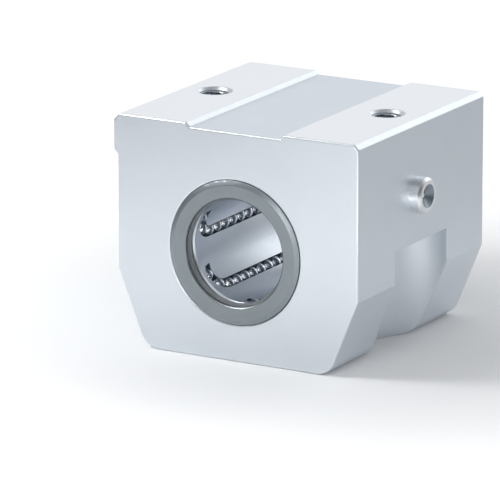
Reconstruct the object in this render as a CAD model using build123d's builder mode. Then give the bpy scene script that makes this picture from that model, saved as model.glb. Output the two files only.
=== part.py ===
from build123d import *
from math import asin, atan2, cos, degrees, floor, hypot, radians, sin, sqrt, tan
import os

# Linear bearing block: an aluminium block that carries a ball bearing for a round shaft.
# Millimetres. The origin is on the shaft axis, half way along the block. The shaft runs along Y,
# +X is the side with the grease nipple, +Z is the side that bolts to the machine.

# Block
block_width = 66.0  # over the locating face and the nipple face
block_length = 63.0
block_height = 56.5
axis_to_mount = 30.0  # shaft axis to the mounting pads
flank_drop = 37.8  # mounting pads to the start of the tapered flanks
flank_run = 7.65  # how far each flank leans in by the foot
foot_corner_radius = 5.0
locating_chamfer = 1.6
nipple_side_chamfer = 1.2
locating_strip_height = 9.0  # ground strip that is pushed against a shoulder
locating_strip_depth = 1.1
relief_width = 26.4  # shallow groove between the two mounting pads
relief_depth = 1.0
edge_break = 0.3

# Fastening
bolt_spacing = 47.0
thread_core_diameter = 6.8  # tapped M8
thread_mouth_diameter = 8.8
pocket_radius = 13.0  # room for a bolt head from below
pocket_height = 26.75

# Bearing, whose balls fill the room that the shaft and the sleeve leave them
shaft_diameter = 25.0
bearing_diameter = 35.0
sleeve_wall = 0.42  # at its thinnest, over a return row
circuit_count = 6
first_row_angle = 174.0  # first loaded row, from +X towards +Z
return_angle = 30.0  # from a loaded row to its return row
return_rise = 1.0  # the return row runs this much further from the shaft
turn_lift = 0.1  # the same, half way round each turn
ball_play = 0.08  # all round a ball in its channel
row_overrun = 0.25  # each straight channel runs on into its turns
cage_bore_play = 0.6  # cage to shaft
cage_outer_play = 0.05  # cage to sleeve
cage_end_play = 0.2
cage_end_wall = 1.05  # beyond each turn
cage_chamfer = 0.4
race_side_play = 0.25  # raceway to the walls of the channel
race_run_out = 0.5  # the raceway stops this short of each end of the row
race_play = 0.01
seat_play = 0.01  # bearing and seals in the block

# End seals
seal_width = 4.0
seal_proud = 0.5
seal_flange = 1.2
seal_wall = 1.0
seal_window_play = 0.6  # steel case to shaft
seal_bevel = 1.15
seal_window_chamfer = 0.35
lip_thickness = 1.4
lip_land = 0.4
lip_setback = 0.7

# Grease nipple
nipple_offset = -2.0  # along the shaft, from the middle of the block
nipple_height = 11.8  # above the shaft axis
nipple_head_diameter = 8.8
nipple_head_height = 2.8
nipple_head_chamfer = 0.6
nipple_shank_diameter = 6.0
nipple_shank_length = 3.8
nipple_chamber = 0.8  # left free beyond the shank
nipple_play = 0.01
funnel_diameter = 5.8
funnel_depth = 1.3
throat_diameter = 1.5
throat_length = 0.2
valve_bore_diameter = 2.3
check_ball_diameter = 1.85
valve_play = 0.02
spring_wire_diameter = 0.28
spring_coil_diameter = 1.4
spring_turns = 3.0
spring_seat_thickness = 0.7
spring_seat_hole_diameter = 0.8
lube_hole_diameter = 2.0
lube_wall = 1.1  # metal left between the grease drilling and the bolt thread
lube_groove_depth = 0.6
lube_groove_width = 2.6

same_size = 1e-6  # two radii closer than this are one

# Levels and radii that follow from the sizes above
mount_level = axis_to_mount
foot_level = mount_level - block_height
half_width = block_width / 2
half_length = block_length / 2
bolt_x = bolt_spacing / 2
lip_radius = shaft_diameter / 2
sleeve_radius = bearing_diameter / 2
sleeve_bore_radius = sleeve_radius - sleeve_wall
ball_diameter = sleeve_bore_radius - ball_play - return_rise - lip_radius
channel_radius = ball_diameter / 2 + ball_play
load_radius = lip_radius + ball_diameter / 2
return_radius = load_radius + return_rise
seat_radius = sleeve_radius + seat_play
bearing_length = block_length + 2 * (seal_proud - seal_width)

# A ball circuit has a loaded row, a return row further out, and a half-round turn at each end.
# It is laid out with its middle facing +X and its rows along Z, and then turned about the shaft.
load_middle = Vector(load_radius, 0, 0).rotate(Axis.Z, return_angle / 2)
return_middle = Vector(return_radius, 0, 0).rotate(Axis.Z, -return_angle / 2)
across = (load_middle - return_middle) * 0.5
between = (load_middle + return_middle) * 0.5
turn_radius = across.length
row_length = bearing_length - 2 * (cage_end_play + cage_end_wall + channel_radius + turn_radius)
to_front = Vector(0, 0, row_length / 2)
along = Vector(0, 0, 1)
off_shaft = across.cross(along).normalized()
turn_lean = asin((load_radius + turn_lift - between.X) / (turn_radius * off_shaft.X))
front_reach = (off_shaft * sin(turn_lean) + along * cos(turn_lean)) * turn_radius
back_reach = (off_shaft * sin(turn_lean) - along * cos(turn_lean)) * turn_radius
first_middle_angle = first_row_angle - return_angle / 2
middle_angles = [first_middle_angle - 360 / circuit_count * n for n in range(circuit_count)]

# The grease drilling leans past the bolt thread that stands between the nipple and the bearing.
past_bolt = hypot(half_width - bolt_x, nipple_offset)
keep_clear = (thread_core_diameter + lube_hole_diameter) / 2 + lube_wall
lube_lean = degrees(asin(keep_clear / past_bolt)) - degrees(atan2(-nipple_offset, half_width - bolt_x))
lube_start_x = half_width - nipple_shank_length - nipple_chamber / 2
lube_end_x = sqrt(seat_radius**2 - nipple_height**2)
lube_start_y = nipple_offset - (half_width - lube_start_x) * tan(radians(lube_lean))
lube_groove_y = nipple_offset - (half_width - lube_end_x) * tan(radians(lube_lean))

os.makedirs("parts", exist_ok=True)


def save(builder, name):
    """Labels a finished piece and writes its file."""
    builder.part.label = name
    export_step(builder.part, f"parts/{name}.step")


def rims(builder, radius):
    """The round edges of a piece that have this radius."""
    return builder.edges().filter_by(GeomType.CIRCLE).filter_by(lambda e: abs(e.radius - radius) < same_size)


# Housing: one milled block, with the bearing seat bored right through
flank_level = mount_level - flank_drop
relief_half = relief_width / 2
strip_level = mount_level - locating_strip_height
left_side = -half_width + locating_strip_depth
with BuildPart() as housing:
    with BuildSketch(Plane.XZ) as outline:
        with BuildLine():
            Polyline(
                (-half_width + locating_chamfer, mount_level),
                (-relief_half, mount_level),
                (-relief_half + relief_depth, mount_level - relief_depth),
                (relief_half - relief_depth, mount_level - relief_depth),
                (relief_half, mount_level),
                (half_width - nipple_side_chamfer, mount_level),
                (half_width, mount_level - nipple_side_chamfer),
                (half_width, flank_level),
                (half_width - flank_run, foot_level),
                (left_side + flank_run, foot_level),
                (left_side, flank_level),
                (left_side, strip_level - locating_strip_depth),
                (-half_width, strip_level),
                (-half_width, mount_level - locating_chamfer),
                close=True,
            )
        make_face()
        fillet(outline.vertices().group_by(Axis.Y)[0], radius=foot_corner_radius)
    extrude(amount=half_length, both=True)
    end_faces = housing.faces().filter_by(Axis.Y)
    chamfer(end_faces.edges(), length=edge_break)

    # Bearing seat
    with BuildSketch(Plane.XZ):
        Circle(seat_radius)
    extrude(amount=half_length, both=True, mode=Mode.SUBTRACT)
    chamfer(rims(housing, seat_radius), length=edge_break)

    # Pockets from below, which let a bolt head reach the end of each thread
    with BuildSketch(Plane.XY.offset(foot_level)):
        with Locations((-half_width, 0), (half_width, 0)):
            Circle(pocket_radius)
    extrude(amount=pocket_height, mode=Mode.SUBTRACT)

    # Tapped holes, down to the pocket roofs
    with Locations((-bolt_x, 0, mount_level), (bolt_x, 0, mount_level)):
        CounterSinkHole(
            radius=thread_core_diameter / 2,
            counter_sink_radius=thread_mouth_diameter / 2,
            depth=block_height - pocket_height,
        )

    # Nipple bore, grease drilling and the groove that takes grease round the bearing
    with BuildSketch(Plane(origin=(half_width, nipple_offset, nipple_height), z_dir=(1, 0, 0))):
        Circle(nipple_shank_diameter / 2 + nipple_play)
    extrude(amount=-(nipple_shank_length + nipple_chamber), mode=Mode.SUBTRACT)
    drilling_start = Vector(lube_start_x, lube_start_y, nipple_height)
    drilling_end = Vector(lube_end_x, lube_groove_y, nipple_height)
    drilling = drilling_end - drilling_start
    with BuildSketch(Plane(origin=drilling_start, z_dir=drilling)):
        Circle(lube_hole_diameter / 2)
    extrude(amount=drilling.length, mode=Mode.SUBTRACT)
    with BuildSketch(Plane.XZ.offset(-lube_groove_y)):
        Circle(seat_radius + lube_groove_depth)
    extrude(amount=lube_groove_width / 2, both=True, mode=Mode.SUBTRACT)
save(housing, "housing")


# Bearing sleeve: a hardened ring with a raised raceway over each loaded row
race_radius = lip_radius + ball_diameter + race_play
race_height = sleeve_bore_radius - race_radius + sleeve_wall / 2
race_width = 2 * (channel_radius - race_side_play)
with BuildPart() as bearing_sleeve:
    with BuildSketch(Plane.XZ):
        Circle(sleeve_radius)
        Circle(sleeve_bore_radius, mode=Mode.SUBTRACT)
    extrude(amount=bearing_length / 2, both=True)
    chamfer(rims(bearing_sleeve, sleeve_radius), length=sleeve_wall / 2)
    with BuildSketch(Plane.XZ):
        with PolarLocations(race_radius, circuit_count, start_angle=first_row_angle):
            Rectangle(race_height, race_width, align=(Align.MIN, Align.CENTER))
    extrude(amount=row_length / 2 - race_run_out, both=True)

    # One grease hole over each return row, in line with the groove in the seat
    for angle in middle_angles:
        over_return = Vector(1, 0, 0).rotate(Axis.Y, return_angle / 2 - angle)
        with BuildSketch(Plane(origin=(0, lube_groove_y, 0), z_dir=over_return)):
            Circle(lube_hole_diameter / 2)
        extrude(amount=seat_radius, mode=Mode.SUBTRACT)
save(bearing_sleeve, "bearing_sleeve")


def channel_section():
    """Eight-sided floor towards the shaft, straight walls and open top towards the sleeve."""
    RegularPolygon(radius=channel_radius, side_count=8, major_radius=False, rotation=22.5)
    Rectangle(sleeve_radius, 2 * channel_radius, align=(Align.MIN, Align.CENTER))


# The channel that one ball circuit takes out of the cage
with BuildPart() as channel:
    for middle in (load_middle, return_middle):
        with BuildSketch(Plane(origin=middle, x_dir=middle, z_dir=along)):
            channel_section()
        extrude(amount=row_length / 2 + row_overrun, both=True)
    for to_end, reach in ((to_front, front_reach), (-to_front, back_reach)):
        turn_axis = across.cross(reach)
        outward = turn_axis if turn_axis.X > 0 else -turn_axis
        with BuildSketch(Plane(origin=load_middle + to_end, x_dir=outward, z_dir=reach)):
            channel_section()
        revolve(axis=Axis(between + to_end, turn_axis), revolution_arc=180)

# Cage: one ring, open to the shaft along each loaded row
with BuildPart(Plane.XZ) as ball_cage:
    with BuildSketch(Plane.XZ):
        Circle(sleeve_bore_radius - cage_outer_play)
        Circle(lip_radius + cage_bore_play, mode=Mode.SUBTRACT)
    extrude(amount=bearing_length / 2 - cage_end_play, both=True)
    chamfer(ball_cage.edges().filter_by(GeomType.CIRCLE), length=cage_chamfer)
    with PolarLocations(0, circuit_count, start_angle=first_middle_angle):
        add(channel.part, mode=Mode.SUBTRACT)
save(ball_cage, "ball_cage")

# Balls: each is a cube with its edges taken off, whose 24 corners lie on the true ball,
# because so many round ones would make the model heavy
cut_share = 1 / (2 + sqrt(2))
cube_side = ball_diameter / sqrt(1 + 2 * (1 - 2 * cut_share) ** 2)
with BuildPart() as ball:
    Box(cube_side, cube_side, cube_side)
    chamfer(ball.edges(), length=cube_side * cut_share)

# The balls stand evenly round the closed line of their centres, one short of a full circuit
with BuildLine() as centre_line:
    Line(load_middle - to_front, load_middle + to_front)
    ThreePointArc(load_middle + to_front, between + to_front + front_reach, return_middle + to_front)
    Line(return_middle + to_front, return_middle - to_front)
    ThreePointArc(return_middle - to_front, between - to_front + back_reach, load_middle - to_front)
circuit = centre_line.wire()
ball_count = floor(circuit.length / ball_diameter) - 1
ball_centres = [circuit.position_at(n / ball_count) for n in range(ball_count)]
for number, angle in enumerate(middle_angles, start=1):
    with BuildPart(Plane.XZ) as ball_circuit:
        with PolarLocations(0, 1, start_angle=angle):
            with Locations(*ball_centres):
                add(ball.part)
    save(ball_circuit, f"ball_circuit_{number}")


# End seals: a steel case pressed into each end of the seat, with a rubber lip bonded inside it
seal_face = -(half_length + seal_proud)
seal_back = seal_face + seal_width
flange_back = seal_face + seal_flange
case_inner_radius = sleeve_radius - seal_wall
window_radius = lip_radius + seal_window_play
with BuildPart() as front_seal_case:
    with BuildSketch(Plane.XY) as case_section:
        with BuildLine():
            Polyline(
                (window_radius, seal_face),
                (sleeve_radius - seal_bevel, seal_face),
                (sleeve_radius, seal_face + seal_proud),
                (sleeve_radius, seal_back),
                (case_inner_radius, seal_back),
                (case_inner_radius, flange_back),
                (window_radius, flange_back),
                close=True,
            )
        make_face()
        window_corner = case_section.vertices().group_by(Axis.Y)[0].sort_by(Axis.X)[0]
        chamfer(window_corner, length=seal_window_chamfer)
    revolve(axis=Axis.Y)
save(front_seal_case, "front_seal_case")

with BuildPart() as front_seal_lip:
    with BuildSketch(Plane.XY):
        with BuildLine():
            Polyline(
                (window_radius, flange_back),
                (case_inner_radius, flange_back),
                (case_inner_radius, flange_back + lip_thickness),
                (window_radius, flange_back + lip_thickness),
                (lip_radius, flange_back + lip_setback + lip_land),
                (lip_radius, flange_back + lip_setback),
                close=True,
            )
        make_face()
    revolve(axis=Axis.Y)
save(front_seal_lip, "front_seal_lip")

with BuildPart() as rear_seal_case:
    mirror(front_seal_case.part, about=Plane.XZ)
save(rear_seal_case, "rear_seal_case")

with BuildPart() as rear_seal_lip:
    mirror(front_seal_lip.part, about=Plane.XZ)
save(rear_seal_lip, "rear_seal_lip")


# Grease nipple: a pressed-in body with a funnel, closed by a sprung ball
nipple_axis = Axis((0, nipple_offset, nipple_height), (1, 0, 0))
nipple_plane = Plane(origin=(0, nipple_offset, nipple_height), x_dir=(1, 0, 0), z_dir=(0, -1, 0))
head_face = half_width + nipple_head_height
shank_end = half_width - nipple_shank_length
throat_face = head_face - funnel_depth
valve_face = throat_face - throat_length
valve_bore_radius = valve_bore_diameter / 2
with BuildPart() as nipple_body:
    with BuildSketch(nipple_plane):
        with BuildLine():
            Polyline(
                (head_face, funnel_diameter / 2),
                (head_face, nipple_head_diameter / 2 - nipple_head_chamfer),
                (head_face - nipple_head_chamfer, nipple_head_diameter / 2),
                (half_width, nipple_head_diameter / 2),
                (half_width, nipple_shank_diameter / 2),
                (shank_end, nipple_shank_diameter / 2),
                (shank_end, valve_bore_radius),
                (valve_face, valve_bore_radius),
                (valve_face, throat_diameter / 2),
                (throat_face, throat_diameter / 2),
                close=True,
            )
        make_face()
    revolve(axis=nipple_axis)
save(nipple_body, "nipple_body")

check_ball_radius = check_ball_diameter / 2
ball_seat_depth = sqrt(check_ball_radius**2 - (throat_diameter / 2) ** 2)
check_ball_x = valve_face - ball_seat_depth - valve_play
with BuildPart() as nipple_check_ball:
    with Locations((check_ball_x, nipple_offset, nipple_height)):
        Sphere(check_ball_radius)
save(nipple_check_ball, "nipple_check_ball")

with BuildPart() as nipple_spring_seat:
    with BuildSketch(Plane(origin=(shank_end, nipple_offset, nipple_height), z_dir=(1, 0, 0))):
        Circle(valve_bore_radius - valve_play / 2)
        Circle(spring_seat_hole_diameter / 2, mode=Mode.SUBTRACT)
    extrude(amount=spring_seat_thickness)
save(nipple_spring_seat, "nipple_spring_seat")

# The spring ends against the ball's shoulder. Its wire has six sides, which stand for round wire.
wire_radius = spring_wire_diameter / 2
coil_radius = spring_coil_diameter / 2
ball_shoulder = sqrt((check_ball_radius + wire_radius + valve_play) ** 2 - coil_radius**2)
spring_back = shank_end + spring_seat_thickness + wire_radius + valve_play
spring_length = check_ball_x - ball_shoulder - spring_back
with BuildPart() as nipple_spring:
    with BuildLine() as coil:
        Helix(
            pitch=spring_length / spring_turns,
            height=spring_length,
            radius=coil_radius,
            center=(spring_back, nipple_offset, nipple_height),
            direction=(1, 0, 0),
        )
    with BuildSketch(Plane(origin=coil.line @ 0, z_dir=coil.line % 0)):
        RegularPolygon(radius=wire_radius, side_count=6)
    sweep(path=coil.line, is_frenet=True)
save(nipple_spring, "nipple_spring")
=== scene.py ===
"""Linear bearing block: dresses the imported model, adds round balls, threads and a spring, and lights it.

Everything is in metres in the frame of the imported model: the shaft runs along Y, the grease nipple looks
along +X, and the mounting pads look along +Z.
"""

from __future__ import annotations

import logging
import math
from dataclasses import dataclass
from enum import Enum

import bmesh
import bpy
import numpy as np
from mathutils import Matrix, Vector

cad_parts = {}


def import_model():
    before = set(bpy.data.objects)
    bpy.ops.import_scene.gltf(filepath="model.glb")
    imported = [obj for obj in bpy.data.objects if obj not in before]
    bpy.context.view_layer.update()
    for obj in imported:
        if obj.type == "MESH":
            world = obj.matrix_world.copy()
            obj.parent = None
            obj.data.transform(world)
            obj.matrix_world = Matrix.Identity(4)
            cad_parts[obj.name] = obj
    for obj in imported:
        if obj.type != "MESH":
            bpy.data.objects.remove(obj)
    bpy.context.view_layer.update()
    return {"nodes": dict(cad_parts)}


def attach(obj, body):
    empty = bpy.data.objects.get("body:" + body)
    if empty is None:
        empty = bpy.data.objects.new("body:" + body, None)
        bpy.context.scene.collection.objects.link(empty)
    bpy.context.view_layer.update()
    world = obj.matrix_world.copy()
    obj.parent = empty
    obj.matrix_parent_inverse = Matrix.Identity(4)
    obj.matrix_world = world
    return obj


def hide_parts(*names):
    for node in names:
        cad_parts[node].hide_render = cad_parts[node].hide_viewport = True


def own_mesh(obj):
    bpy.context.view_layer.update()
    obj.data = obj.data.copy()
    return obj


log = logging.getLogger("bearing_block")

MM = 0.001
BLOCK = "block"
# Corners of loose triangles that lie nearer than this are one corner, in metres
SAME_CORNER = 1e-7
# A point on the grease nipple's axis, in millimetres
NIPPLE_AXIS = (0.0, -2.0, 11.8)

Colour = tuple[float, float, float, float]
Point = tuple[float, float, float]
Piece = bpy.types.Object
Tree = bpy.types.NodeTree
Socket = bpy.types.NodeSocket


class Axis(Enum):
    """An axis of the frame, by the number of its coordinate."""

    X = 0
    Y = 1
    Z = 2


def linear(hex_colour: str) -> Colour:
    """Turns an sRGB hex colour into the linear colour that a shader takes, by the sRGB standard's curve.

    Args:
        hex_colour: six hex digits after a hash sign.

    Returns:
        Red, green, blue and an alpha of one, each from 0 to 1.
    """
    channels = (int(hex_colour[start : start + 2], 16) / 255 for start in (1, 3, 5))
    red, green, blue = (c / 12.92 if c <= 0.04045 else ((c + 0.055) / 1.055) ** 2.4 for c in channels)
    return red, green, blue, 1.0


def per_metre(millimetres: float) -> float:
    """How many repeats of a pattern of this size, in millimetres, fit in a metre."""
    return 1.0 / (millimetres * MM)


def add_node(
    tree: Tree,
    kind: str,
    settings: dict[str, object] | None = None,
    inputs: dict[str | int, object] | None = None,
) -> bpy.types.Node:
    """Adds one node with its settings and links.

    Args:
        tree: the node tree that it joins.
        kind: the node's type name.
        settings: properties of the node, by name.
        inputs: for an input's name or number, a value, or another node's output to link from.

    Returns:
        The new node.
    """
    node = tree.nodes.new(kind)
    for name, value in (settings or {}).items():
        setattr(node, name, value)
    for key, value in (inputs or {}).items():
        if isinstance(value, Socket):
            tree.links.new(value, node.inputs[key])
        else:
            node.inputs[key].default_value = value
    return node


# Surfaces worked out with numpy


def lay_mesh(name: str, points: np.ndarray, faces: np.ndarray, normals: np.ndarray | None = None) -> Piece:
    """Makes a smooth mesh object at the origin from whole arrays.

    Args:
        name: the piece's name.
        points: vertex places, n by 3.
        faces: vertex numbers, m by 4, where a triangle repeats its last number.
        normals: vertex normals, n by 3, where they are known exactly.

    Returns:
        The object, linked to the scene.
    """
    corners = np.where(faces[:, 3] == faces[:, 2], 3, 4)
    keep = np.arange(4)[None, :] < corners[:, None]
    mesh = bpy.data.meshes.new(name)
    mesh.vertices.add(len(points))
    mesh.vertices.foreach_set("co", points.astype(np.float32).ravel())
    mesh.loops.add(int(corners.sum()))
    mesh.loops.foreach_set("vertex_index", faces[keep].astype(np.int32))
    mesh.polygons.add(len(faces))
    starts = np.concatenate(([0], np.cumsum(corners)[:-1])).astype(np.int32)
    mesh.polygons.foreach_set("loop_start", starts)
    mesh.polygons.foreach_set("use_smooth", np.ones(len(faces), bool))
    mesh.update(calc_edges=True)
    mesh.validate()
    if normals is not None:
        mesh.normals_split_custom_set_from_vertices([tuple(n) for n in normals])
    piece = bpy.data.objects.new(name, mesh)
    bpy.context.scene.collection.objects.link(piece)
    return piece


def grid_faces(rows: int, columns: int, wrap_columns: bool = False) -> np.ndarray:
    """Quads of a grid of points, numbered row by row.

    Args:
        rows: points along the first parameter.
        columns: points along the second parameter.
        wrap_columns: whether the last column joins the first.

    Returns:
        Vertex numbers, m by 4.
    """
    r = np.arange(rows - 1)[:, None]
    c = np.arange(columns if wrap_columns else columns - 1)[None, :]
    next_c = (c + 1) % columns
    near, far = r * columns, (r + 1) * columns
    quads = (near + c, near + next_c, far + next_c, far + c)
    return np.stack([np.broadcast_to(q, (r.size, c.size)).ravel() for q in quads], axis=1)


def ring_to_point(ring: np.ndarray, point: int) -> np.ndarray:
    """Triangles from each side of a closed ring of vertices to one point.

    Args:
        ring: the ring's vertex numbers, in order.
        point: the vertex that they meet at.

    Returns:
        Vertex numbers, m by 4, with the last one repeated.
    """
    tip = np.full(len(ring), point)
    return np.stack((ring, np.roll(ring, -1), tip, tip), axis=1)


def unit_ball(around: int, down: int) -> tuple[np.ndarray, np.ndarray]:
    """A unit sphere: longitude times latitude, with one point at each pole.

    A point is (cos longitude * sin polar angle, sin longitude * sin polar angle, cos polar angle).

    Args:
        around: points round the equator.
        down: bands from pole to pole.

    Returns:
        Points, n by 3, and faces, m by 4, that look outwards.
    """
    polar_angle = np.linspace(0, math.pi, down + 1)[1:-1, None]
    longitude = np.arange(around)[None, :] * (2 * math.pi / around)
    away = np.sin(polar_angle)
    rings = np.stack(
        np.broadcast_arrays(np.cos(longitude) * away, np.sin(longitude) * away, np.cos(polar_angle)), axis=-1
    )
    points = np.concatenate((rings.reshape(-1, 3), [[0, 0, 1], [0, 0, -1]]))
    top, bottom = len(points) - 2, len(points) - 1
    ring = np.arange(around)
    last_ring = (down - 2) * around + ring
    bands = grid_faces(down - 1, around, wrap_columns=True)[:, ::-1]
    return points, np.concatenate((bands, ring_to_point(ring, top), ring_to_point(last_ring[::-1], bottom)))


def island_boxes(node: Piece) -> tuple[np.ndarray, np.ndarray]:
    """Lowest and highest corners of each separate solid in a node's mesh.

    Corners that lie within a micrometre of each other count as one, and each point takes the lowest number
    among the points that it shares a triangle with, again and again until nothing changes.

    Args:
        node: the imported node.

    Returns:
        Two arrays, one row per solid.
    """
    micrometre = 1e-6
    mesh = node.data
    places = corner_places(node)
    cells = np.round(places / micrometre).astype(np.int64)
    unique, number = np.unique(cells, axis=0, return_inverse=True)
    mesh.calc_loop_triangles()
    triangles = np.empty(len(mesh.loop_triangles) * 3, np.int32)
    mesh.loop_triangles.foreach_get("vertices", triangles)
    triangles = number.ravel()[triangles].reshape(-1, 3)
    label = np.arange(len(unique))
    while True:
        lowest = label[triangles].min(axis=1)
        fresh = label.copy()
        np.minimum.at(fresh, triangles.ravel(), np.repeat(lowest, 3))
        if np.array_equal(fresh, label):
            break
        label = fresh
    solids, member = np.unique(label[number.ravel()], return_inverse=True)
    low = np.full((len(solids), 3), np.inf)
    high = np.full((len(solids), 3), -np.inf)
    np.minimum.at(low, member.ravel(), places)
    np.maximum.at(high, member.ravel(), places)
    return low, high


def corner_places(node: Piece) -> np.ndarray:
    """The places of a mesh's vertices.

    Args:
        node: the object that carries the mesh.

    Returns:
        Places in metres, n by 3.
    """
    places = np.empty(len(node.data.vertices) * 3, np.float32)
    node.data.vertices.foreach_get("co", places)
    return places.reshape(-1, 3).astype(float)


def face_outwards(piece: Piece) -> Piece:
    """Turns every face of a closed shell outwards.

    Args:
        piece: the object that carries the shell.

    Returns:
        The same object.
    """
    shell = bmesh.new()
    shell.from_mesh(piece.data)
    bmesh.ops.recalc_face_normals(shell, faces=shell.faces)
    shell.to_mesh(piece.data)
    shell.free()
    piece.data.update()
    return piece


# Finishes


def polar(tree: Tree, place: Socket, centre: Point, along: Axis) -> tuple[Socket, Socket, Socket]:
    """Distance from an axis, place along it and angle round it.

    Args:
        tree: the material's node tree.
        place: the Object coordinate.
        centre: a point on the axis, in millimetres.
        along: which way the axis runs.

    Returns:
        The outputs that carry radius and place in metres, and angle in radians.
    """
    middle = [c * MM for c in centre]
    moved = add_node(tree, "ShaderNodeVectorMath", {"operation": "SUBTRACT"}, {0: place, 1: middle})
    parts = add_node(tree, "ShaderNodeSeparateXYZ", None, {0: moved.outputs[0]})
    first, second = [parts.outputs[axis.value] for axis in Axis if axis is not along]
    flat = add_node(tree, "ShaderNodeCombineXYZ", None, {0: first, 1: second})
    radius = add_node(tree, "ShaderNodeVectorMath", {"operation": "LENGTH"}, {0: flat.outputs[0]})
    angle = add_node(tree, "ShaderNodeMath", {"operation": "ARCTAN2"}, {0: second, 1: first})
    return radius.outputs["Value"], parts.outputs[along.value], angle.outputs[0]


def drawn_noise(tree: Tree, vector: Socket, sizes: Point, detail: float = 2.0) -> Socket:
    """A noise that is drawn out along some directions.

    Args:
        tree: the material's node tree.
        vector: the coordinate that it reads, in metres.
        sizes: its grain along each direction, in millimetres.
        detail: octaves of finer noise.

    Returns:
        The output that carries it.
    """
    repeats = [per_metre(size) for size in sizes]
    scaled = add_node(tree, "ShaderNodeVectorMath", {"operation": "MULTIPLY"}, {0: vector, 1: repeats})
    noise = add_node(
        tree, "ShaderNodeTexNoise", None, {"Vector": scaled.outputs[0], "Scale": 1.0, "Detail": detail}
    )
    return noise.outputs["Fac"]


@dataclass(frozen=True)
class Finish:
    """A real material and how its surface was made.

    Attributes:
        label: the material's name in the file.
        colour: sRGB hex colour.
        tone: the colour of its darker patches.
        metallic: 1 for bare metal, 0 for anything else.
        roughness: how wide it scatters a reflection.
        swing: how far the roughness goes up and down.
        patch: size of its patches, in millimetres.
        patch_detail: octaves of finer noise in the patches.
        grain: size of its fine grain, in millimetres.
        grain_span: the noise values between which nearly all of the grain lies.
        relief: depth of that grain, in millimetres.
    """

    label: str
    colour: str
    tone: str
    metallic: float = 1.0
    roughness: float = 0.35
    swing: float = 0.05
    patch: float = 9.0
    patch_detail: float = 3.0
    grain: float = 0.35
    grain_span: tuple[float, float] = (0.3, 0.7)
    relief: float = 0.001

    def material(self) -> bpy.types.Material:
        """Builds the material.

        Returns:
            The material, ready to assign.
        """
        made = bpy.data.materials.new(self.label)
        made.use_nodes = True
        tree = made.node_tree
        tree.nodes.clear()
        place = add_node(tree, "ShaderNodeTexCoord").outputs["Object"]
        patches = drawn_noise(tree, place, (self.patch,) * 3, self.patch_detail)
        grain = drawn_noise(tree, place, (self.grain,) * 3)
        colour = add_node(
            tree, "ShaderNodeMix", {"data_type": "RGBA"},
            {0: patches, 6: linear(self.tone), 7: linear(self.colour)},
        ).outputs[2]
        rough = add_node(
            tree, "ShaderNodeMapRange", None,
            {
                "Value": grain, "From Min": self.grain_span[0], "From Max": self.grain_span[1],
                "To Min": self.roughness - self.swing, "To Max": self.roughness + self.swing,
            },
        ).outputs["Result"]
        bumps = [(grain, self.relief), *self.marks(tree, place)]
        normal = None
        for height, depth in bumps:
            inputs = {"Height": height, "Distance": depth * MM}
            if normal is not None:
                inputs["Normal"] = normal
            normal = add_node(tree, "ShaderNodeBump", None, inputs).outputs[0]
        colour, rough = self.zones(tree, place, colour, rough)
        shader = add_node(
            tree, "ShaderNodeBsdfPrincipled", None,
            {"Base Color": colour, "Metallic": self.metallic, "Roughness": rough, "Normal": normal},
        )
        add_node(tree, "ShaderNodeOutputMaterial", None, {"Surface": shader.outputs["BSDF"]})
        return made

    def marks(self, tree: Tree, place: Socket) -> list[tuple[Socket, float]]:
        """Tool marks: for each kind, the output that carries its height, and its depth in millimetres."""
        return []

    def zones(self, tree: Tree, place: Socket, colour: Socket, rough: Socket) -> tuple[Socket, Socket]:
        """Colour and roughness once the parts of the piece that are finished otherwise have theirs."""
        return colour, rough


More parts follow.
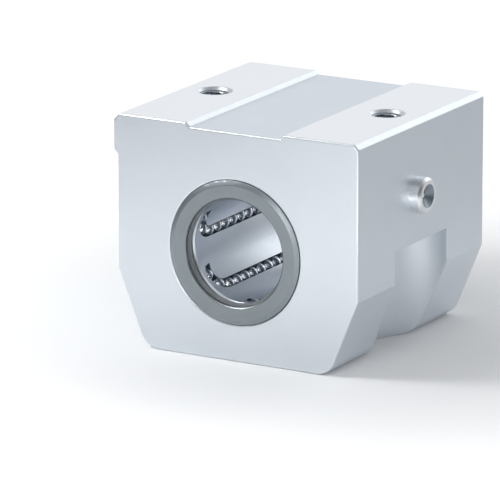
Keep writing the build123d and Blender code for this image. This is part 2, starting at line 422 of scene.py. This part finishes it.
@dataclass(frozen=True)
class MilledBlock(Finish):
    """Milled and clear anodised aluminium whose mounting faces are ground afterwards; they are painted paler,
    partly for the ground finish and partly as a painted highlight on the top pads.

    Attributes:
        pass_width: spacing of the cutter's marks, in millimetres.
        pass_length: how far a mark runs before it changes, in millimetres.
        pass_depth: depth of the marks, in millimetres.
        end_face: a face counts as an end face from this cosine to the shaft's direction.
        ground: sRGB hex colour of the ground faces, paler than the rest: their finish, and on the top pads also
            a painted highlight.
        ground_roughness: how wide they scatter a reflection.
        pads: level of the mounting pads, in millimetres.
        strip: place of the locating strip's face, in millimetres.
        end_mill: radius of the cutter that made the side pockets, in millimetres.
        side: from the shaft axis to the pockets' middle, in millimetres.
        on_face: a point counts as on a ground face within this distance, in millimetres.
        on_wall: the same for the pockets' round wall.
    """

    pass_width: float = 0.5
    pass_length: float = 40.0
    pass_depth: float = 0.001
    end_face: float = 0.9
    ground: str = "#f4f6f8"
    ground_roughness: float = 0.30
    pads: float = 30.0
    strip: float = -33.0
    end_mill: float = 13.0
    side: float = 33.0
    on_face: float = 0.04
    on_wall: float = 0.1

    def marks(self, tree: Tree, place: Socket) -> list[tuple[Socket, float]]:
        """Straight passes: across the end faces, up the round pocket walls and along the shaft elsewhere.

        Args:
            tree: the material's node tree.
            place: the Object coordinate.

        Returns:
            The passes' height, with their depth in millimetres.
        """
        width, length = self.pass_width, self.pass_length
        across = drawn_noise(tree, place, (length, width, width))
        along = drawn_noise(tree, place, (width, length, width))
        up = drawn_noise(tree, place, (width, width, length))
        facing = add_node(tree, "ShaderNodeNewGeometry").outputs["True Normal"]
        parts = add_node(tree, "ShaderNodeSeparateXYZ", None, {0: facing})
        end = add_node(tree, "ShaderNodeMath", {"operation": "ABSOLUTE"}, {0: parts.outputs[1]}).outputs[0]
        is_end = add_node(
            tree, "ShaderNodeMath", {"operation": "GREATER_THAN"}, {0: end, 1: self.end_face}
        ).outputs[0]
        flat = add_node(tree, "ShaderNodeMix", None, {0: is_end, 2: along, 3: across}).outputs[0]
        mirrored = add_node(tree, "ShaderNodeVectorMath", {"operation": "ABSOLUTE"}, {0: place}).outputs[0]
        radius, _, _ = polar(tree, mirrored, (self.side, 0, 0), Axis.Z)
        is_wall = add_node(
            tree, "ShaderNodeMath", {"operation": "COMPARE"},
            {0: radius, 1: self.end_mill * MM, 2: self.on_wall * MM},
        ).outputs[0]
        passes = add_node(tree, "ShaderNodeMix", None, {0: is_wall, 2: flat, 3: up}).outputs[0]
        return [(passes, self.pass_depth)]

    def zones(self, tree: Tree, place: Socket, colour: Socket, rough: Socket) -> tuple[Socket, Socket]:
        """The mounting pads and the locating strip are ground: a little glossier, and paler, which on the top
        pads is also a painted highlight.

        Args:
            tree: the material's node tree.
            place: the Object coordinate.
            colour: the milled faces' colour.
            rough: the milled faces' roughness.

        Returns:
            Colour and roughness of milled and ground faces.
        """
        parts = add_node(tree, "ShaderNodeSeparateXYZ", None, {0: place})
        pads = add_node(
            tree, "ShaderNodeMath", {"operation": "GREATER_THAN"},
            {0: parts.outputs[2], 1: (self.pads - self.on_face) * MM},
        ).outputs[0]
        strip = add_node(
            tree, "ShaderNodeMath", {"operation": "LESS_THAN"},
            {0: parts.outputs[0], 1: (self.strip + self.on_face) * MM},
        ).outputs[0]
        ground = add_node(tree, "ShaderNodeMath", {"operation": "MAXIMUM"}, {0: pads, 1: strip}).outputs[0]
        # Ground faces painted paler: partly their finish, partly a painted highlight on the top pads
        paler = add_node(
            tree, "ShaderNodeMix", {"data_type": "RGBA"}, {0: ground, 6: colour, 7: linear(self.ground)}
        )
        glossier = add_node(tree, "ShaderNodeMix", None, {0: ground, 2: rough, 3: self.ground_roughness})
        return paler.outputs[2], glossier.outputs[0]


@dataclass(frozen=True)
class TurnedMetal(Finish):
    """Metal with the fine rings that a lathe or a press tool leaves.

    Attributes:
        ring: spacing of the rings, in millimetres.
        ring_depth: their depth, in millimetres.
        centre: a point on the axis, in millimetres.
        along: which way the axis runs.
    """

    ring: float = 0.35
    ring_depth: float = 0.0012
    centre: Point = (0.0, 0.0, 0.0)
    along: Axis = Axis.Y

    def marks(self, tree: Tree, place: Socket) -> list[tuple[Socket, float]]:
        """Rings: a noise of the distance from the axis and of the place along it.

        Args:
            tree: the material's node tree.
            place: the Object coordinate.

        Returns:
            The rings' height, with their depth in millimetres.
        """
        radius, height, _ = polar(tree, place, self.centre, self.along)
        rings = add_node(tree, "ShaderNodeCombineXYZ", None, {0: radius, 1: height}).outputs[0]
        return [(drawn_noise(tree, rings, (self.ring,) * 3, 1.0), self.ring_depth)]


@dataclass(frozen=True)
class PlatedNipple(TurnedMetal):
    """Plated steel whose funnel is rougher, and darker with painted shade.

    Attributes:
        funnel: radius of the funnel's mouth, in millimetres.
        funnel_shade: sRGB hex colour inside the funnel, painted shade.
        dulled_roughness: how wide the funnel scatters a reflection.
    """

    funnel: float = 2.88
    funnel_shade: str = "#929ca4"
    dulled_roughness: float = 0.36

    def zones(self, tree: Tree, place: Socket, colour: Socket, rough: Socket) -> tuple[Socket, Socket]:
        """The funnel is rougher than the rest, and darker with painted shade.

        Args:
            tree: the material's node tree.
            place: the Object coordinate.
            colour: the plating's colour.
            rough: the plating's roughness.

        Returns:
            Colour and roughness of plating and funnel.
        """
        radius, _, _ = polar(tree, place, self.centre, self.along)
        # Painted shade: inside the funnel the colour is darker than the plating
        inside = add_node(
            tree, "ShaderNodeMath", {"operation": "LESS_THAN"}, {0: radius, 1: self.funnel * MM}
        ).outputs[0]
        darker = add_node(
            tree, "ShaderNodeMix", {"data_type": "RGBA"}, {0: inside, 6: colour, 7: linear(self.funnel_shade)}
        )
        duller = add_node(tree, "ShaderNodeMix", None, {0: inside, 2: rough, 3: self.dulled_roughness})
        return darker.outputs[2], duller.outputs[0]


@dataclass(frozen=True)
class RibbedRubber(Finish):
    """Moulded rubber with slanting ribs, which keep the lip from rolling over.

    Attributes:
        ribs: how many there are round the shaft.
        slant: how far round a rib leans over a metre of its radius, in radians.
        rib_depth: their depth, in millimetres.
        crest: sRGB hex colour of their crests, a painted highlight.
        highlight_foot: the wave's height from which the crests' painted highlight comes in.
    """

    ribs: int = 110
    slant: float = 450.0
    rib_depth: float = 0.05
    crest: str = "#b4b9bd"
    highlight_foot: float = -0.2

    def marks(self, tree: Tree, place: Socket) -> list[tuple[Socket, float]]:
        """The ribs."""
        return [(self.wave(tree, place), self.rib_depth)]

    def zones(self, tree: Tree, place: Socket, colour: Socket, rough: Socket) -> tuple[Socket, Socket]:
        """The ribs' crests get a painted highlight: their colour is paler than the rubber's.

        Args:
            tree: the material's node tree.
            place: the Object coordinate.
            colour: the rubber's colour.
            rough: its roughness, which stays.

        Returns:
            Colour and roughness of rubber and crests.
        """
        # Painted highlight: the crests of the ribs are painted paler, where light would catch them
        crest_highlight = add_node(
            tree, "ShaderNodeMapRange", None,
            {"Value": self.wave(tree, place), "From Min": self.highlight_foot, "From Max": 1.0},
        ).outputs["Result"]
        paler = add_node(
            tree, "ShaderNodeMix", {"data_type": "RGBA"}, {0: crest_highlight, 6: colour, 7: linear(self.crest)}
        )
        return paler.outputs[2], rough

    def wave(self, tree: Tree, place: Socket) -> Socket:
        """The ribs: the sine of their number times the sum of angle and slant times radius.

        Args:
            tree: the material's node tree.
            place: the Object coordinate.

        Returns:
            The output that carries the sine, from -1 to 1.
        """
        radius, _, angle = polar(tree, place, (0, 0, 0), Axis.Y)
        lean = add_node(
            tree, "ShaderNodeMath", {"operation": "MULTIPLY_ADD"}, {0: radius, 1: self.slant, 2: angle}
        ).outputs[0]
        phase = add_node(tree, "ShaderNodeMath", {"operation": "MULTIPLY"}, {0: lean, 1: float(self.ribs)})
        return add_node(tree, "ShaderNodeMath", {"operation": "SINE"}, {0: phase.outputs[0]}).outputs[0]


# Wrought aluminium, face milled and clear anodised: a pale satin grey with a cool cast and faint straight
# passes. The passes and all grains below are drawn coarser than the real ones, so that they show.
MILLED_ALUMINIUM = MilledBlock(
    "milled_anodised_aluminium", "#e3e8ed", "#dbe1e7", roughness=0.38, swing=0.03, patch=14.0, grain=0.5,
    relief=0.0005,
)
# The same alloy where a thread tap has cut it: glossier, and painted darker than the block as shade inside the
# holes, with darker patches at random
SHADED_TAPPED_ALUMINIUM = Finish(
    "tapped_aluminium_painted_shade", "#b9c0c7", "#98a0a8", roughness=0.22, patch=2.0, grain=0.3, relief=0.0008
)
# Bearing steel, hardened and ground: darker than aluminium, with fine rings
GROUND_STEEL = TurnedMetal(
    "ground_bearing_steel", "#c6cbd1", "#bcc2c8", roughness=0.26, patch=6.0, grain=0.3
)
# Cage strip, drawn and tumbled: an even satin sheen
CAGE_STEEL = Finish(
    "tumbled_cage_steel", "#dae0e7", "#d0d7df", roughness=0.33, patch=5.0, grain=0.4, relief=0.0006
)
# Balls of through-hardened chromium steel, lapped until they mirror
LAPPED_BALL_STEEL = Finish(
    "lapped_chromium_steel", "#f1f4fa", "#eceff5", roughness=0.13, swing=0.02, patch=3.0, grain=0.6,
    relief=0.0,
)
# Sheet steel, pressed and phosphated: a dull middle grey with a green cast
PRESSED_STEEL = TurnedMetal(
    "phosphated_pressed_steel", "#989fa4", "#8c9497", roughness=0.40, patch=7.0, ring=0.4, ring_depth=0.0010
)
# Nitrile rubber, compression moulded: dark grey and matt, with fine ribs whose crests carry a painted highlight
NITRILE_RUBBER = RibbedRubber(
    "moulded_nitrile_rubber", "#7b8084", "#6f7478", metallic=0.0, roughness=0.55, swing=0.08, patch=4.0,
    grain=0.3, relief=0.003,
)
# Free-cutting steel, turned and zinc plated: bright, a little warmer than the block, with painted shade in its
# funnel
ZINC_PLATE = PlatedNipple(
    "zinc_plated_turned_steel", "#f2f4f6", "#ebeef1", roughness=0.33, swing=0.015, patch=4.0, grain=0.5,
    relief=0.00005, ring=0.3, ring_depth=0.0002, centre=NIPPLE_AXIS, along=Axis.X,
)
# Patented spring wire, drawn: grey and smooth
SPRING_WIRE = Finish(
    "drawn_spring_wire", "#9aa0a6", "#8b9197", roughness=0.30, patch=2.0, grain=0.2, relief=0.0004
)


def dress(piece: Piece, finish: Finish) -> Piece:
    """Gives a piece one finish.

    Args:
        piece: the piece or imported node.
        finish: its finish.

    Returns:
        The piece.
    """
    made = bpy.data.materials.get(finish.label) or finish.material()
    piece.data.materials.clear()
    piece.data.materials.append(made)
    return piece


def round_off(node: Piece, edge: float = 0.0) -> None:
    """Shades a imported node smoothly: its loose triangles are joined, and its real edges broken or kept sharp.

    The facets of its round faces meet at 17 degrees at most, and its real edges at 22 degrees or more.

    Args:
        node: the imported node.
        edge: how far each edge is broken, in millimetres, or 0 to keep it sharp.
    """
    crease = math.radians(20)
    one_plane = math.radians(0.5)
    node.data.polygons.foreach_set("use_smooth", np.ones(len(node.data.polygons), bool))
    weld = node.modifiers.new("join", "WELD")
    weld.merge_threshold = SAME_CORNER
    if not edge:
        split = node.modifiers.new("edges", "EDGE_SPLIT")
        split.split_angle = crease
        return
    plain = node.modifiers.new("whole_faces", "DECIMATE")
    plain.decimate_type = "DISSOLVE"
    plain.angle_limit = one_plane
    broken = node.modifiers.new("broken_edges", "BEVEL")
    broken.width = edge * MM
    broken.segments = 2
    broken.limit_method = "ANGLE"
    broken.angle_limit = crease
    broken.use_clamp_overlap = False
    # Weighted by area, the large faces keep their own normal and the broken edges take up the turn
    flat = node.modifiers.new("flat_faces", "WEIGHTED_NORMAL")
    flat.weight = 50


# Sub-assemblies


@dataclass
class Housing:
    """The block and the threads tapped into it.

    Attributes:
        node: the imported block.
        edge: how far its edges are broken, in millimetres.
        core_radius: of the plain tapped holes, in millimetres.
        bolt_x: from the shaft axis to each hole, in millimetres.
        thread_low: lower end of the thread, in millimetres.
        thread_high: upper end of the thread, in millimetres.
        sink: level where the countersink's cone begins, in millimetres.
        pitch: thread pitch, in millimetres.
        crest: how far the thread stands in from the hole's wall, in millimetres.
        root: how far its foot lies inside that wall, in millimetres.
        foot_share: half its width at the foot, as a share of the pitch.
        crest_share: half its width at the crest, as a share of the pitch.
        run_out: the share of its height that is left at its very ends.
        around: points along each turn.
    """

    node: Piece
    edge: float = 0.19
    core_radius: float = 3.4
    bolt_x: float = 23.5
    thread_low: float = 0.9
    thread_high: float = 29.35
    sink: float = 29.0
    pitch: float = 1.25
    crest: float = 0.42
    root: float = 0.05
    foot_share: float = 0.44
    crest_share: float = 0.10
    run_out: float = 0.02
    around: int = 40

    def build(self) -> list[Piece]:
        """Dresses the block and makes both threads.

        Returns:
            The block and its threads.
        """
        round_off(self.node, self.edge)
        pieces = [dress(self.node, MILLED_ALUMINIUM)]
        # The threads are painted darker than the block, as shade inside the holes
        for side, name in ((-1, "left_thread"), (1, "right_thread")):
            piece = dress(self.thread(name, side * self.bolt_x), SHADED_TAPPED_ALUMINIUM)
            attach(piece, BLOCK)
            pieces.append(piece)
        return pieces

    def thread(self, name: str, x: float) -> Piece:
        """A helical ridge with a flat crest and 60 degree flanks.

        A point at turn angle a stands at radius core minus lift, and at height low + pitch * a / (2 pi) plus
        the profile's offset. The lift fades to nothing over the first and last half turn, so the ridge runs
        out. Over the countersink the ridge's foot moves outwards with the cone.

        Args:
            name: the piece's name.
            x: the hole's place across the block, in millimetres.

        Returns:
            The ridge.
        """
        turns = (self.thread_high - self.thread_low) / self.pitch
        count = int(turns * self.around) + 1
        whole = turns * 2 * math.pi
        angle = np.linspace(0, whole, count)[:, None]
        fade = np.clip(np.minimum(angle, whole - angle) / math.pi, self.run_out, 1)
        foot, flat = self.pitch * self.foot_share, self.pitch * self.crest_share
        lift = np.array([-self.root, self.crest, self.crest, -self.root])[None, :]
        offset = np.array([-foot, -flat, flat, foot])[None, :]
        height = self.thread_low + self.pitch * angle / (2 * math.pi) + offset * fade
        cone = np.clip(height - self.sink, 0, None)
        radius = self.core_radius - np.where(lift > 0, lift * fade, lift - cone)
        points = np.stack((x + radius * np.cos(angle), radius * np.sin(angle), height), axis=-1)
        corners = np.arange(lift.size)
        ends = (corners[::-1], (count - 1) * lift.size + corners)
        faces = np.concatenate((grid_faces(count, lift.size, wrap_columns=True), ends))
        return face_outwards(lay_mesh(name, points.reshape(-1, 3) * MM, faces))


@dataclass
class Bearing:
    """The sleeve, the cage and its ball circuits.

    Attributes:
        nodes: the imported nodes.
        circuits: how many ball circuits there are.
        around: points round each ball.
        down: bands from pole to pole of each ball.
    """

    nodes: dict[str, Piece]
    circuits: int = 6
    around: int = 14
    down: int = 9

    def build(self) -> list[Piece]:
        """Dresses the sleeve and the cage and makes the round balls.

        Returns:
            Sleeve, cage and one piece for each circuit.
        """
        pieces = []
        for name, finish in (("bearing_sleeve", GROUND_STEEL), ("ball_cage", CAGE_STEEL)):
            round_off(self.nodes[name])
            pieces.append(dress(self.nodes[name], finish))
        for number in range(1, self.circuits + 1):
            piece = dress(self.round_balls(number), LAPPED_BALL_STEEL)
            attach(piece, BLOCK)
            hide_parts(f"ball_circuit_{number}")
            pieces.append(piece)
        return pieces

    def round_balls(self, number: int) -> Piece:
        """All balls of one circuit, each on the middle of the solid that stands for it.

        Each solid's corners lie on the true ball, so the corner that is farthest from the middle nearest to
        it gives the radius.

        Args:
            number: which circuit.

        Returns:
            One object that holds every ball of the circuit.
        """
        node = self.nodes[f"ball_circuit_{number}"]
        low, high = island_boxes(node)
        centres = (low + high) / 2
        away = np.linalg.norm(corner_places(node)[:, None, :] - centres[None, :, :], axis=2)
        radius = float(away.min(axis=1).max())
        unit, faces = unit_ball(self.around, self.down)
        # The poles point along the row, where the next ball hides them
        unit = unit[:, [1, 2, 0]]
        points = (centres[:, None, :] + unit[None, :, :] * radius).reshape(-1, 3)
        steps = (np.arange(len(centres)) * len(unit))[:, None, None]
        every = (faces[None, :, :] + steps).reshape(-1, 4)
        return lay_mesh(f"circuit_{number}_balls", points, every, np.tile(unit, (len(centres), 1)))


@dataclass
class EndSeals:
    """The two steel cases and their rubber lips.

    Attributes:
        nodes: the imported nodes.
        ends: the ends of the block, as its nodes name them.
        edge: how far the cases' edges are broken, in millimetres.
    """

    nodes: dict[str, Piece]
    ends: tuple[str, ...] = ("front", "rear")
    edge: float = 0.09

    def build(self) -> list[Piece]:
        """Dresses both seals.

        Returns:
            Case and lip of each end.
        """
        pieces = []
        for end in self.ends:
            case, lip = self.nodes[f"{end}_seal_case"], self.nodes[f"{end}_seal_lip"]
            round_off(case, self.edge)
            round_off(lip)
            pieces += [dress(case, PRESSED_STEEL), dress(lip, NITRILE_RUBBER)]
        return pieces


@dataclass
class GreaseNipple:
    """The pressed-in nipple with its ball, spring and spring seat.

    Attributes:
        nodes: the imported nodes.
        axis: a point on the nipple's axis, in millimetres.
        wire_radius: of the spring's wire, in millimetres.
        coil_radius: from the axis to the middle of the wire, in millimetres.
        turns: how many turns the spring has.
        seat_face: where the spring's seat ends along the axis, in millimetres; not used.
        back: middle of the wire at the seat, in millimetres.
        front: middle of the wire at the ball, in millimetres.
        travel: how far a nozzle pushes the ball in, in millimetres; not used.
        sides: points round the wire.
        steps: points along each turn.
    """

    nodes: dict[str, Piece]
    axis: Point = NIPPLE_AXIS
    wire_radius: float = 0.14
    coil_radius: float = 0.70
    turns: float = 3.0
    seat_face: float = 29.90
    back: float = 30.06
    front: float = 32.91
    travel: float = 0.80
    sides: int = 12
    steps: int = 36

    def build(self) -> list[Piece]:
        """Dresses the nipple and winds a spring.

        Returns:
            Nipple, ball, spring seat and spring.
        """
        pieces = []
        finishes = {
            "nipple_body": ZINC_PLATE,
            "nipple_check_ball": LAPPED_BALL_STEEL,
            "nipple_spring_seat": ZINC_PLATE,
        }
        for name, finish in finishes.items():
            round_off(self.nodes[name])
            pieces.append(dress(self.nodes[name], finish))
        spring = dress(self.spring(), SPRING_WIRE)
        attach(spring, BLOCK)
        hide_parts("nipple_spring")
        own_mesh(spring)
        return [*pieces, spring]

    def spring(self) -> Piece:
        """A coil of round wire with flat ends.

        The wire's middle at turn angle a stands at the coil's radius from the axis, and at back plus an even
        rise along it. It starts straight above the axis. Round that middle lies a circle of the wire's
        radius, square to the wire's own direction.

        Returns:
            The coil.
        """
        count = int(self.turns * self.steps) + 1
        whole = self.turns * 2 * math.pi
        start = math.pi / 2
        turn = np.linspace(0, whole, count)[:, None] + start
        wire = np.arange(self.sides)[None, :] * (2 * math.pi / self.sides)
        rise = (self.front - self.back) / whole
        lead = math.atan2(rise, self.coil_radius)
        outwards = self.coil_radius + self.wire_radius * np.cos(wire)
        sideways = self.wire_radius * np.sin(wire)
        along = self.back + rise * (turn - start) + sideways * math.cos(lead)
        lean = -sideways * math.sin(lead)
        points = np.stack((
            along,
            self.axis[1] + outwards * np.cos(turn) - lean * np.sin(turn),
            self.axis[2] + outwards * np.sin(turn) + lean * np.cos(turn),
        ), axis=-1)
        middles = points[[0, -1]].mean(axis=1)
        ring = np.arange(self.sides)
        last_ring = (count - 1) * self.sides + ring
        back_middle = count * self.sides
        faces = np.concatenate((
            grid_faces(count, self.sides, wrap_columns=True),
            ring_to_point(ring, back_middle),
            ring_to_point(last_ring, back_middle + 1),
        ))
        every = np.concatenate((points.reshape(-1, 3), middles))
        return face_outwards(lay_mesh("valve_spring", every * MM, faces))


# Stage


@dataclass(frozen=True)
class SoftBox:
    """One square lamp behind a diffuser, with a honeycomb grid where its beam is narrow.

    Attributes:
        name: the lamp's name.
        azimuth: direction in which it stands, from -Y towards +X, in degrees.
        elevation: the same above the horizon, in degrees.
        distance: from the point that it is aimed at, in metres.
        side: of its square face, in metres.
        watts: its power.
        aim: the point that it is aimed at, in millimetres.
        beam: how wide its beam opens, in degrees.
    """

    name: str
    azimuth: float
    elevation: float
    distance: float
    side: float
    watts: float
    aim: Point = (0.0, 0.0, 0.0)
    beam: float = 180.0

    def build(self) -> None:
        """Hangs the lamp, out of the camera's sight."""
        lamp = bpy.data.lights.new(self.name, "AREA")
        lamp.shape = "SQUARE"
        lamp.size = self.side
        lamp.energy = self.watts
        lamp.spread = math.radians(self.beam)
        made = bpy.data.objects.new(self.name, lamp)
        bpy.context.scene.collection.objects.link(made)
        made.visible_camera = False
        a, e = math.radians(self.azimuth), math.radians(self.elevation)
        away = Vector((math.sin(a) * math.cos(e), -math.cos(a) * math.cos(e), math.sin(e))) * self.distance
        made.location = Vector(self.aim) * MM + away
        made.rotation_mode = "QUATERNION"
        made.rotation_quaternion = (-away).to_track_quat("-Z", "Y")


@dataclass
class Studio:
    """Floor, soft lights, surroundings and camera.

    Attributes:
        azimuth: direction in which the camera stands, from -Y towards +X, in degrees.
        elevation: the same above the horizon, in degrees.
        distance: from the camera to the point that it looks at, in metres.
        lens: its focal length, in millimetres.
        sensor: its sensor's width, in millimetres.
        target: the point that it looks at before it is shifted, in metres.
        shift_right: how far the object moves to the right in the picture, in millimetres.
        shift_up: how far it moves up, in millimetres.
        clip: nearest and farthest distance that the camera shows, in metres.
        floor_level: height of the floor, in millimetres, just under the block's foot.
        floor_reach: from the middle of the floor to its edges, in metres.
        paper: sRGB hex colour of the floor.
        paper_roughness: how wide it scatters a reflection.
        paper_sheen: how strongly it reflects.
        near_glow: the floor's glow up to near_paper.
        far_glow: the floor's glow from far_paper on.
        near_paper: distance from the shaft's middle at which the glow starts to grow, in millimetres.
        far_paper: distance at which it has grown, in millimetres.
        right_fade: where it fades to the right as the camera sees it, from and to, in millimetres.
        left_fade: the same to the left.
        room_level: light from every side of the room.
        room_colour: sRGB hex colour of the room's light.
        room: the sides from which more light comes, each with its strength.
        soft_boxes: the lamps. The one at 60 mm draws the light line down the block's front right edge.
    """

    azimuth: float = 29.742
    elevation: float = 14.902
    distance: float = 1.356
    lens: float = 409.0
    sensor: float = 36.0
    target: Point = (0.0, -0.0041, 0.0026)
    shift_right: float = 9.92
    shift_up: float = 7.90
    clip: tuple[float, float] = (0.05, 20.0)
    floor_level: float = -26.53
    floor_reach: float = 3.0
    paper: str = "#f4f5f6"
    paper_roughness: float = 0.9
    paper_sheen: float = 0.1
    near_glow: float = 0.05
    far_glow: float = 0.50
    near_paper: float = 50.0
    far_paper: float = 170.0
    right_fade: tuple[float, float] = (62.0, 130.0)
    left_fade: tuple[float, float] = (-75.0, -230.0)
    room_level: float = 0.03
    room_colour: str = "#fafcff"
    room: tuple[tuple[Point, float], ...] = (
        ((-1, 0, 0), 0.20),
        ((0, 1, 0), 0.88),
        ((0, 0, 1), 0.27),
    )
    soft_boxes: tuple[SoftBox, ...] = (
        SoftBox("right_rear_box", 160, 27, 0.9, 0.5, 0.55),
        SoftBox("camera_side_box", 26, 42, 0.9, 0.7, 1.00),
        SoftBox("edge_box", 30, 4, 0.9, 0.4, 0.30),
        SoftBox("edge_lamp", 60, -10, 0.060, 0.018, 0.0011, aim=(33, -32, 9), beam=60),
        SoftBox("top_edge_box", -62, 57, 0.9, 0.4, 1.20),
        SoftBox("near_left_lamp", -50, 40, 0.2, 0.05, 0.14),
        SoftBox("near_front_lamp", 10, 12, 0.2, 0.05, 0.05),
    )

    def build(self) -> None:
        """Makes the floor, the surroundings, the lights and the camera."""
        self.floor()
        self.surroundings()
        for box in self.soft_boxes:
            box.build()
        self.camera()

    def floor(self) -> None:
        """White paper, seen and mirrored as white, dimmed where the block shades it and clear from below."""
        reach = self.floor_reach
        corners = np.array([[-reach, -reach], [reach, -reach], [reach, reach], [-reach, reach]])
        points = np.concatenate((corners, np.full((4, 1), self.floor_level * MM)), axis=1)
        paper = lay_mesh("floor", points, np.array([[0, 1, 2, 3]]))
        made = bpy.data.materials.new("matt_white_paper")
        made.use_nodes = True
        tree = made.node_tree
        tree.nodes.clear()
        shader = add_node(
            tree, "ShaderNodeBsdfPrincipled", None,
            {
                "Base Color": linear(self.paper),
                "Roughness": self.paper_roughness,
                "Specular IOR Level": self.paper_sheen,
                "Emission Color": (1, 1, 1, 1),
                "Emission Strength": self.shown_white(tree),
            },
        )
        under = add_node(tree, "ShaderNodeNewGeometry").outputs["Backfacing"]
        seen = add_node(tree, "ShaderNodeLightPath").outputs["Is Camera Ray"]
        open_below = add_node(tree, "ShaderNodeMath", {"operation": "MULTIPLY"}, {0: under, 1: seen})
        clear = add_node(tree, "ShaderNodeBsdfTransparent")
        mix = add_node(
            tree, "ShaderNodeMixShader", None,
            {0: open_below.outputs[0], 1: shader.outputs["BSDF"], 2: clear.outputs[0]},
        )
        add_node(tree, "ShaderNodeOutputMaterial", None, {"Surface": mix.outputs[0]})
        paper.data.materials.append(made)

    def shown_white(self, tree: Tree) -> Socket:
        """A glow that lifts the paper to white and leaves its shadow.

        It is weaker round the block than farther out, and fades to both sides of the picture. Only the
        camera, mirrors and glass see it, so it adds no light.

        Args:
            tree: the paper's node tree.

        Returns:
            The output that carries the strength.
        """
        place = add_node(tree, "ShaderNodeTexCoord").outputs["Object"]
        away, _, _ = polar(tree, place, (0, 0, 0), Axis.Z)
        smooth = {"interpolation_type": "SMOOTHSTEP"}
        glow = add_node(
            tree, "ShaderNodeMapRange", smooth,
            {
                "Value": away, "From Min": self.near_paper * MM, "From Max": self.far_paper * MM,
                "To Min": self.near_glow, "To Max": self.far_glow,
            },
        ).outputs["Result"]
        across = (math.cos(math.radians(self.azimuth)), math.sin(math.radians(self.azimuth)), 0)
        rightwards = add_node(
            tree, "ShaderNodeVectorMath", {"operation": "DOT_PRODUCT"}, {0: place, 1: across}
        ).outputs["Value"]
        for start, end in (self.right_fade, self.left_fade):
            fading = add_node(
                tree, "ShaderNodeMapRange", smooth,
                {
                    "Value": rightwards, "From Min": start * MM, "From Max": end * MM,
                    "To Min": 1.0, "To Max": 0.0,
                },
            ).outputs["Result"]
            faded = add_node(tree, "ShaderNodeMath", {"operation": "MULTIPLY"}, {0: glow, 1: fading})
            glow = faded.outputs[0]
        path = add_node(tree, "ShaderNodeLightPath")
        seen = path.outputs["Is Camera Ray"]
        for kind in ("Is Glossy Ray", "Is Transmission Ray"):
            seen = add_node(
                tree, "ShaderNodeMath", {"operation": "MAXIMUM"}, {0: seen, 1: path.outputs[kind]}
            ).outputs[0]
        return add_node(tree, "ShaderNodeMath", {"operation": "MULTIPLY"}, {0: seen, 1: glow}).outputs[0]

    def surroundings(self) -> None:
        """A room that is brighter on some sides than on others.

        The light from a direction is the room's level plus the sum, over its brighter sides, of that side's
        strength times the cosine of the angle between the two, where that is above zero.
        """
        world = bpy.data.worlds.new("studio")
        bpy.context.scene.world = world
        world.use_nodes = True
        tree = world.node_tree
        tree.nodes.clear()
        direction = add_node(tree, "ShaderNodeTexCoord").outputs["Generated"]
        light: Socket | float = self.room_level
        for towards, strength in self.room:
            cosine = add_node(
                tree, "ShaderNodeVectorMath", {"operation": "DOT_PRODUCT"}, {0: direction, 1: towards}
            ).outputs["Value"]
            above = add_node(tree, "ShaderNodeMath", {"operation": "MAXIMUM"}, {0: cosine, 1: 0.0}).outputs[0]
            light = add_node(
                tree, "ShaderNodeMath", {"operation": "MULTIPLY_ADD"}, {0: above, 1: strength, 2: light}
            ).outputs[0]
        soft = add_node(
            tree, "ShaderNodeBackground", None, {"Color": linear(self.room_colour), "Strength": light}
        )
        add_node(tree, "ShaderNodeOutputWorld", None, {"Surface": soft.outputs[0]})

    def camera(self) -> None:
        """The viewpoint: right, forward and up follow from azimuth and elevation."""
        a, e = math.radians(self.azimuth), math.radians(self.elevation)
        right = Vector((math.cos(a), math.sin(a), 0))
        forward = Vector((-math.sin(a) * math.cos(e), math.cos(a) * math.cos(e), -math.sin(e)))
        up = right.cross(forward)
        lens = bpy.data.cameras.new("camera")
        lens.lens, lens.sensor_width = self.lens, self.sensor
        lens.clip_start, lens.clip_end = self.clip
        made = bpy.data.objects.new("camera", lens)
        bpy.context.scene.collection.objects.link(made)
        shift = right * self.shift_right * MM + up * self.shift_up * MM
        made.location = Vector(self.target) - forward * self.distance - shift
        made.rotation_mode = "QUATERNION"
        made.rotation_quaternion = Matrix((right, up, -forward)).transposed().to_quaternion()
        bpy.context.scene.camera = made


def main() -> None:
    """Builds each sub-assembly in turn."""
    logging.basicConfig(level=logging.INFO, format="%(name)s: %(message)s")
    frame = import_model()
    nodes = frame["nodes"]
    bpy.context.scene.view_settings.view_transform = "Standard"
    for assembly in (Housing(nodes["housing"]), Bearing(nodes), EndSeals(nodes), GreaseNipple(nodes)):
        for piece in assembly.build():
            faces, finish = len(piece.data.polygons), piece.data.materials[0].name
            log.info("%s: %d faces, %s", piece.name, faces, finish)
    Studio().build()


if __name__ == "__main__":
    main()
